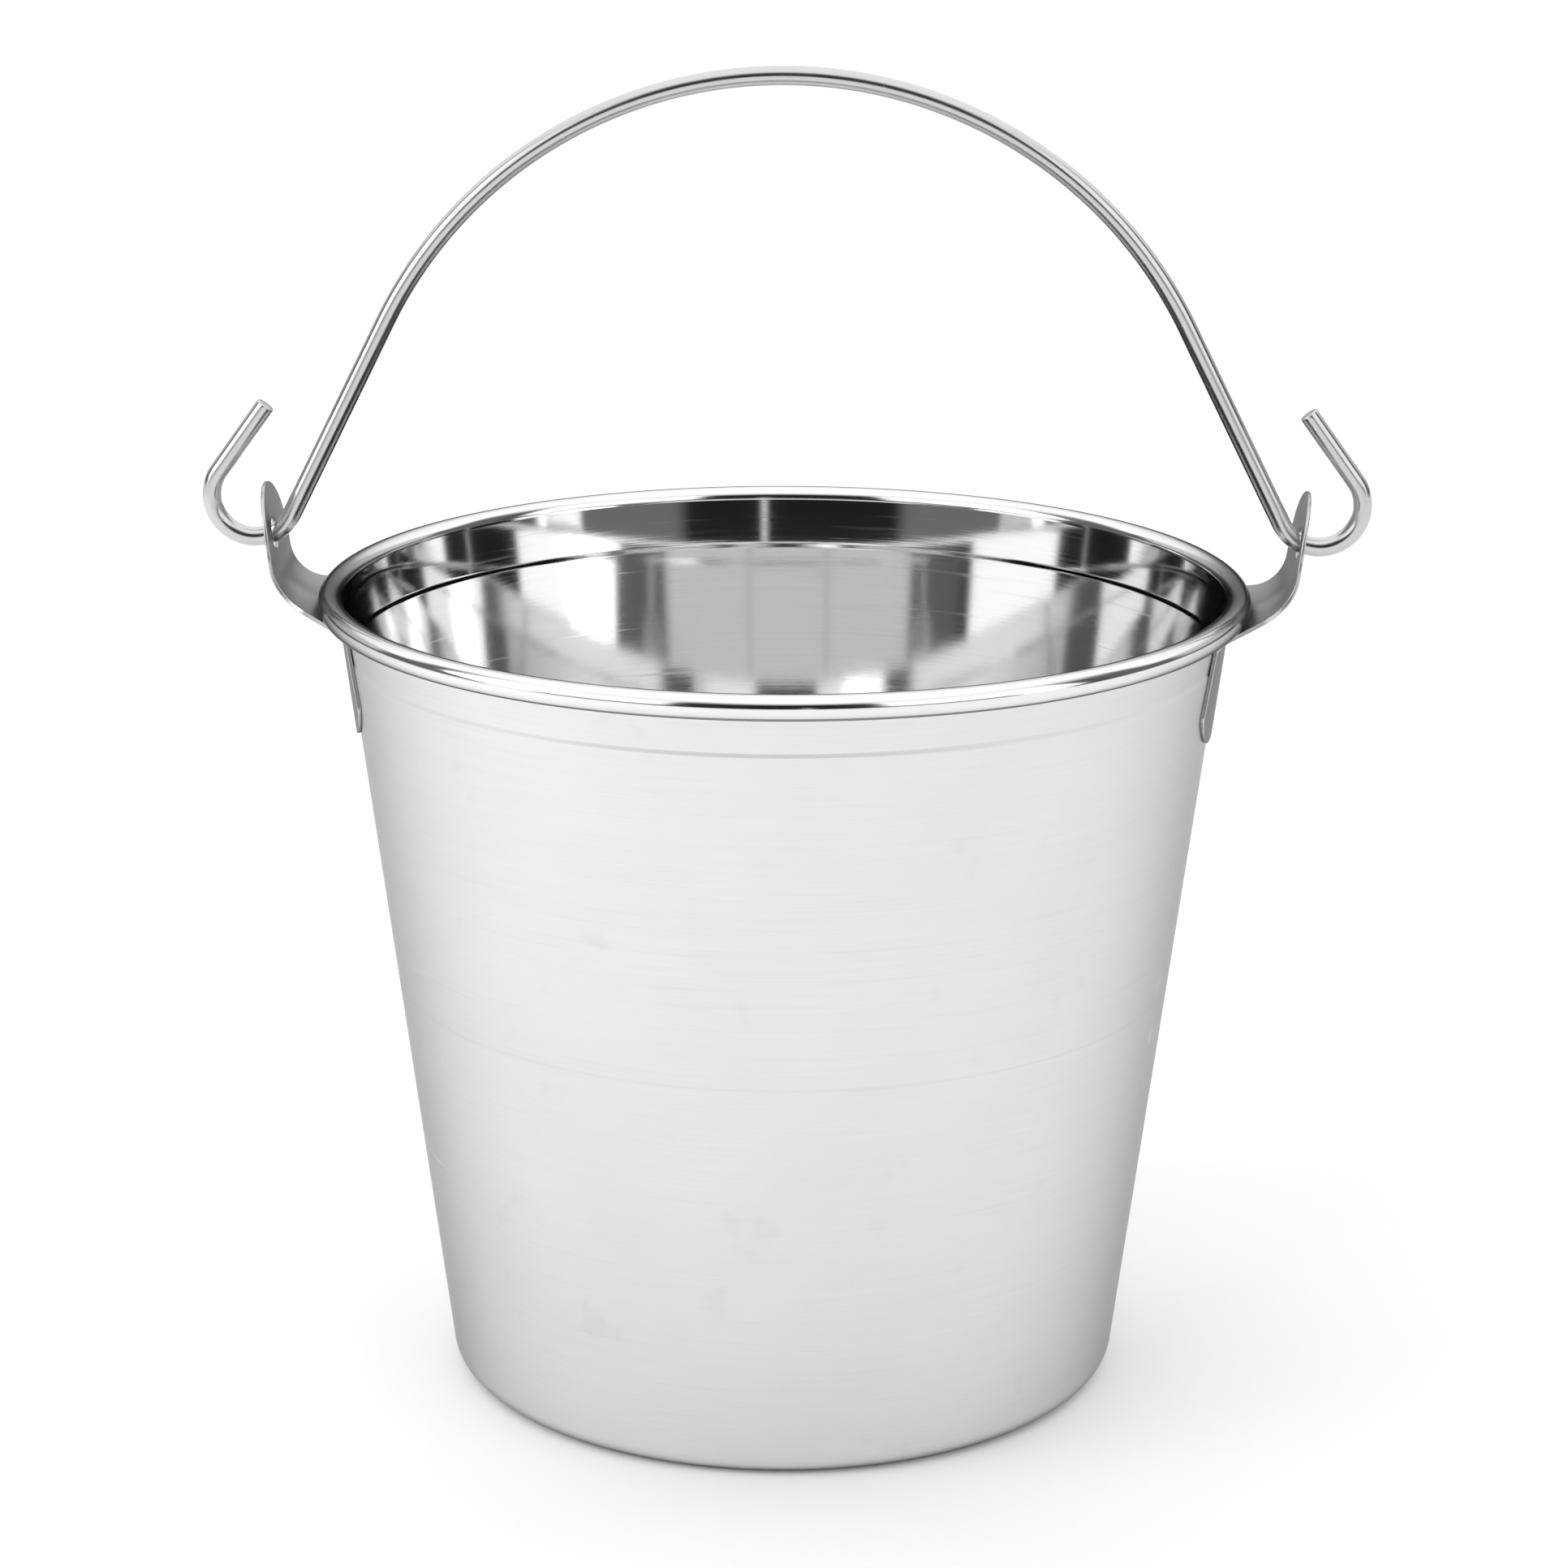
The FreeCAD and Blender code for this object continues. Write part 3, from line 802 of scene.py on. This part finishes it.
        meet = self.shell.rim_radius + self.neck_reach
        tangent = self.flange_round * math.tan(self.flange_angle / 2)
        start = meet - tangent * math.cos(self.flange_angle)
        end = meet + tangent
        plan = np.full_like(radius, self.tab_radius)
        for _ in range(60):
            x = np.sqrt(np.maximum(radius ** 2 - plan ** 2, 0.0))
            slanted = self.tab_radius + (meet - x) * math.tan(self.flange_angle)
            inside = np.clip(end - x, 0.0, self.flange_round)
            hollow = (self.tab_radius + self.flange_round
                      - np.sqrt(self.flange_round ** 2 - inside ** 2))
            plan = np.where(x < start, slanted, np.where(x < end, hollow, self.tab_radius))
            plan = np.minimum(plan, 2 * self.lug_half_width)
        return np.minimum(front, plan)

    def outline(self, lengths: Array, widths: Array, middle: float) -> Array:
        """Edge of the unrolled ear as seen from the eye, evenly spaced.

        Args:
            lengths: distance of each profile point along the strip.
            widths: half-width at each of them.
            middle: the eye's own distance along the strip.

        Returns:
            Points (along, across) measured from the eye, once round, against the clock.
        """
        right = np.stack([lengths - middle, widths], axis=1)
        left = right[::-1] * (1.0, -1.0)
        foot = np.linspace(-1.0, 1.0, 40)[1:-1, None] * (0.0, 1.0) * widths[0]
        foot = foot + (lengths[0] - middle, 0.0)
        loop = np.concatenate([right, left, foot, right[:1]])
        steps = np.linalg.norm(np.diff(loop, axis=0), axis=1)
        loop = loop[np.concatenate([[True], steps > 1e-9])]
        return respaced(loop, run_along(loop)[-1] / self.around)[:self.around]

    def build(self) -> Any:
        """Lay the sheet out round the eye, bend it, and give it two faces and rounded edges.

        In the flat, point (i, j) lies on the straight line from the eye's wall to outline point j. Going
        along i, the section crosses the outer face, rounds the outline, comes back over the inner face
        and rounds the eye. A point's distance along the strip gives its radius and level there, its
        place across gives Y, and it then moves off the middle along the sheet's normal.

        Returns:
            The ear's object.
        """
        profile = self.profile()
        lengths = run_along(profile)
        middle = float(np.interp(self.eye_level, profile[:, 1], lengths))
        rim = self.outline(lengths, self.half_widths(profile), middle)
        reach = np.linalg.norm(rim, axis=1)
        spoke = rim / reach[:, None]
        hole = spoke * self.eye_radius

        half, soft = self.sheet / 2, self.edge_round
        share = np.linspace(0.0, 1.0, self.across) ** 1.3
        swing = np.radians(np.linspace(0.0, 180.0, 9))[1:-1]
        edge_in = soft * (1.0 - np.sin(swing))
        edge_off = np.where(np.cos(swing) > 1e-9, half - soft, soft - half) + soft * np.cos(swing)
        edge_off[len(swing) // 2] = 0.0
        length = reach - self.eye_radius
        from_eye = np.concatenate([
            soft + share[:, None] * (length - 2 * soft),
            length - edge_in[:, None],
            soft + share[::-1, None] * (length - 2 * soft),
            edge_in[:, None] + 0.0 * length,
        ])
        off = np.concatenate([np.full(self.across, half), edge_off,
                              np.full(self.across, -half), -edge_off])[:, None]
        flat = hole + spoke * from_eye[..., None]
        along, y = flat[..., 0] + middle, flat[..., 1]
        off = off - self.gutter * self.pressed(flat[..., 0], y)

        radius = np.interp(along, lengths, profile[:, 0])
        level = np.interp(along, lengths, profile[:, 1])
        normals = -left_normals(profile)
        normal_r = np.interp(along, lengths, normals[:, 0])
        normal_z = np.interp(along, lengths, normals[:, 1])
        x = np.sqrt(radius ** 2 - y ** 2)
        points = np.stack([x + off * normal_r * x / radius, y + off * normal_r * y / radius,
                           level + off * normal_z], axis=-1)
        points[..., 0] *= self.side.value
        points[..., 1] *= self.side.value
        name = f"ear_{self.side.name.lower()}_sheet"
        piece, _ = Grid(points[::-1], close_rows=True, close_columns=True).make(name)
        piece.data.materials.append(self.finish.build())
        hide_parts(f"ear_{self.side.name.lower()}")
        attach(piece, Body.PAIL.value)
        return piece

    def pressed(self, along: Array, across: Array) -> Array:
        """Depth of the shallow gutter from the eye down to the neck, 0 to 1.

        It is a bell across the strip times a smooth rise and fall along it.

        Args:
            along: distance past the eye, upwards, on the sheet.
            across: distance from the ear's middle.

        Returns:
            Depth at each point.
        """
        side = np.exp(-(across / self.gutter_width) ** 2)
        rise = np.clip((along + self.gutter_foot) / self.gutter_rise, 0.0, 1.0)
        fall = np.clip((-self.gutter_top - along) / self.gutter_fall, 0.0, 1.0)
        return side * np.sin(rise * math.pi / 2) ** 2 * np.sin(fall * math.pi / 2) ** 2


# ------------------------------------------------------------------------------------------------
# Bail
# ------------------------------------------------------------------------------------------------
@dataclass
class Bail:
    """Wire bail: a round arch, straight arms, and a hook through each eye."""

    wire_radius: float = 3.0 * MM
    eye_x: float = 162.3 * MM
    arm_angle: float = math.radians(63.2)
    arm_run: float = 69.5 * MM
    hook_radius: float = 13.3 * MM
    eye_crossing: float = math.radians(25.0)
    tip_angle: float = math.radians(54.0)
    tip_run: float = 26.3 * MM
    tip_round: float = 0.4 * MM
    around: int = 40
    spacing: float = 1.1 * MM
    finish: DrawnWire = DrawnWire("drawn_wire")

    def centre_line(self) -> Array:
        """Middle of the wire in X and Z, from the left tip to the right one.

        The right half is an arc about a point on the pail's axis, a straight arm that touches it, an arc
        round the hook, and the straight free end; the left half is its mirror image.

        Returns:
            Points along the wire.
        """
        swing = next(joint for joint in frame["joints"] if joint["name"] == "bail_swing")
        eye = np.array([self.eye_x, float(swing["pos_m"][2])])
        hook = eye + self.hook_radius * np.array([math.sin(self.eye_crossing),
                                                  math.cos(self.eye_crossing)])
        foot = hook - self.hook_radius * np.array([math.sin(self.arm_angle), math.cos(self.arm_angle)])
        arm = np.array([-math.cos(self.arm_angle), math.sin(self.arm_angle)])
        top = foot + self.arm_run * arm
        arch_radius = top[0] / math.sin(self.arm_angle)
        arch = np.array([0.0, top[1] - arch_radius * math.cos(self.arm_angle)])
        rise = np.linspace(0.0, self.arm_angle, 200)[:, None]
        crown = arch + arch_radius * np.concatenate([np.sin(rise), np.cos(rise)], axis=1)
        bend = np.linspace(math.pi + self.arm_angle, self.tip_angle, 120)[:, None]
        round_hook = hook + self.hook_radius * np.concatenate([np.sin(bend), np.cos(bend)], axis=1)
        tip = round_hook[-1] + self.tip_run * np.array([-math.cos(self.tip_angle),
                                                        math.sin(self.tip_angle)])
        right = respaced(np.concatenate([crown, round_hook, tip[None]]), self.spacing)
        return np.concatenate([right[:0:-1] * (-1.0, 1.0), right])

    def build(self) -> Any:
        """Carry a round section along the wire and close its broken-edged tips.

        Point (i, j) is centre point i plus the radius there times the j-th direction round the section,
        measured between the path's own left hand and the Y axis.

        Returns:
            The bail's object.
        """
        line = self.centre_line()
        soft = self.tip_round
        reach = run_along(line)
        cap = np.radians(np.linspace(0.0, 90.0, 5))
        lead = np.concatenate([[0.0, 0.0, 0.0], soft * (1 - np.cos(cap[1:]))])
        thin = np.concatenate([[0.0, 0.35, 0.7], np.ones(4)]) * self.wire_radius
        thin[3:] -= soft * (1 - np.sin(cap[1:]))
        thin[:3] *= (self.wire_radius - soft) / self.wire_radius
        inner = np.arange(reach[0] + 2 * soft, reach[-1] - 2 * soft, self.spacing)
        at = np.concatenate([lead, inner, reach[-1] - lead[::-1]])
        radius = np.concatenate([thin, np.full(len(inner), self.wire_radius), thin[::-1]])
        centre = np.stack([np.interp(at, reach, column) for column in line.T], axis=1)
        normals = left_normals(line)
        normal = np.stack([np.interp(at, reach, column) for column in normals.T], axis=1)
        normal /= np.linalg.norm(normal, axis=1)[:, None]
        turn = np.linspace(0.0, 2 * math.pi, self.around, endpoint=False)
        across = radius[:, None] * np.cos(turn)
        points = np.stack([centre[:, :1] + across * normal[:, :1],
                           radius[:, None] * np.sin(turn),
                           centre[:, 1:] + across * normal[:, 1:]], axis=-1)
        size = (float(reach[-1]), 2 * math.pi * self.wire_radius)
        piece, _ = Grid(points, close_columns=True).make("wire_bail", size)
        close_poles(piece)
        piece.data.materials.append(self.finish.build())
        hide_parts("bail")
        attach(piece, Body.HANDLE.value)
        return piece


# ------------------------------------------------------------------------------------------------
# Studio
# ------------------------------------------------------------------------------------------------
@dataclass
class Studio:
    """Pale floor, a panel on the left, soft light all round with a dark gap in front, and the camera."""

    camera_distance: float = 1305.1 * MM
    camera_height: float = 564.6 * MM
    camera_azimuth: float = math.radians(2.0)
    camera_pitch: float = math.radians(15.944)
    camera_roll: float = math.radians(0.15)
    lens: float = 97.14
    floor_size: float = 30.0
    floor_level: float = -0.05 * MM
    floor_lines: int = 9
    box_level: float = 1.5
    overhead_level: float = 1.35
    side_place: tuple[float, float, float] = (-1.2, -0.5, 0.8)
    side_size: float = 0.9
    side_power: float = 3.5

    def camera(self) -> None:
        """Place the camera on its circle round the pail's axis, looking through the axis."""
        side, away = math.sin(self.camera_azimuth), math.cos(self.camera_azimuth)
        right = Vector((away, side, 0.0))
        level = Vector((-side, away, 0.0))
        forward = level * math.cos(self.camera_pitch) - Vector((0, 0, math.sin(self.camera_pitch)))
        up = right.cross(forward)
        roll_cos, roll_sin = math.cos(self.camera_roll), math.sin(self.camera_roll)
        rolled_right = right * roll_cos + up * roll_sin
        rolled_up = up * roll_cos - right * roll_sin
        data = bpy.data.cameras.new("camera")
        data.sensor_width = 36.0
        data.lens = self.lens
        data.clip_start, data.clip_end = 0.05, 100.0
        camera = bpy.data.objects.new("camera", data)
        turned = Matrix((rolled_right, rolled_up, -forward)).transposed().to_4x4()
        place = -level * self.camera_distance + Vector((0, 0, self.camera_height))
        camera.matrix_world = Matrix.Translation(place) @ turned
        bpy.context.scene.collection.objects.link(camera)
        bpy.context.scene.camera = camera

    def floor(self) -> Any:
        """Lay a large pale floor under the pail."""
        half = self.floor_size / 2
        line = np.linspace(-half, half, self.floor_lines)
        x, y = np.meshgrid(line, line)
        points = np.stack([x.T, y.T, np.full_like(x, self.floor_level)], axis=-1)
        piece, _ = Grid(points[::-1]).make("floor")
        material, shader, principled = new_material("pale_floor")
        cloud = shader.noise(shader.place(), 3.0, 2.0)
        colour = shader.mix_colour(cloud, grey(0.985), grey(0.965))
        feed(shader, principled, Base_Color=colour, Roughness=0.9)
        principled.inputs["Specular IOR Level"].default_value = 0.0
        piece.data.materials.append(material)
        return piece

    def side_light(self) -> None:
        """Hang one soft panel on the left, so that the pail's left side is the brighter one."""
        data = bpy.data.lights.new("side_light", "AREA")
        data.shape = "DISK"
        data.size = self.side_size
        data.energy = self.side_power
        lamp = bpy.data.objects.new("side_light", data)
        place = Vector(self.side_place)
        facing = place.to_track_quat("Z", "Y").to_matrix().to_4x4()
        lamp.matrix_world = Matrix.Translation(place) @ facing
        bpy.context.scene.collection.objects.link(lamp)

    def sky(self) -> None:
        """Light the pail from all round, with a strength that depends on the direction alone.

        Turned is the direction's angle from the camera's side, 0 to 180 degrees, the same on the left
        and the right, and rise is the sine of its height. Two broad soft boxes stand either side of the
        camera over a grey base, with a black gap between them, dark flags beside them, and pale paper
        behind the pail and over it. The stand carries each box down to the base, the slit is a thin
        bright line in the gap, and below the horizon all is as bright as the floor.
        """
        world = bpy.data.worlds.new("soft_studio")
        world.use_nodes = True
        shader = Shader(world.node_tree)
        x, y, rise = shader.parts(shader.place("Generated"))
        around = shader.node("ShaderNodeMath", {"operation": "ARCTAN2"}, {0: x, 1: 0.0 - y})
        around = around * math.degrees(1.0)
        turned = abs(around)

        box_side = turned.ramp(24.0, 28.0) * turned.ramp(80.0, 76.0)
        box = box_side * rise.ramp(0.11, 0.15) * rise.ramp(0.75, 0.60)
        stand = turned.ramp(58.0, 61.0) * turned.ramp(74.0, 71.0) * rise.ramp(0.15, 0.11)
        base = turned.ramp(27.0, 33.0) * turned.ramp(78.0, 72.0)
        paper = turned.ramp(110.0, 116.0) * (1.0 - 0.30 * turned.bell(159.0, 2.0))
        paper = paper * rise.ramp(0.08, 0.17)
        overhead = rise.ramp(0.50, 0.85)
        behind = turned.ramp(100.0, 112.0) * rise.ramp(0.32, 0.42)
        slit = around.bell(7.5, 1.6) * rise.ramp(0.25, 0.20)
        level = 0.015 + 0.15 * base + 0.13 * turned.ramp(78.0, 90.0) + 0.62 * paper + 0.7 * slit
        level = level + (self.box_level - level) * box
        level = level + (self.box_level - level) * stand
        level = level + (self.overhead_level - level) * overhead
        level = level + (self.overhead_level - level) * behind
        below = rise.ramp(0.03, 0.0)
        level = level + (1.0 - level) * below
        background = world.node_tree.nodes["Background"]
        shader.tree.links.new(level.socket, background.inputs["Strength"])
        background.inputs["Color"].default_value = (1.0, 1.0, 1.0, 1.0)
        bpy.context.scene.world = world

    def build(self) -> None:
        """Set up the camera, the floor and the light."""
        bpy.context.scene.view_settings.view_transform = "Standard"
        self.camera()
        self.floor()
        self.side_light()
        self.sky()


def main() -> None:
    """Build the pail's pieces in order, then the studio."""
    logging.basicConfig(level=logging.INFO, format="%(name)s: %(message)s")
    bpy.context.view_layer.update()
    Studio().build()
    shell = Shell()
    pieces = [shell.build()]
    pieces += [Ear(side, shell).build() for side in Side]
    pieces.append(Bail().build())
    for piece in pieces:
        LOG.info("%s: %d faces", piece.name, len(piece.data.polygons))


if __name__ == "__main__":
    main()
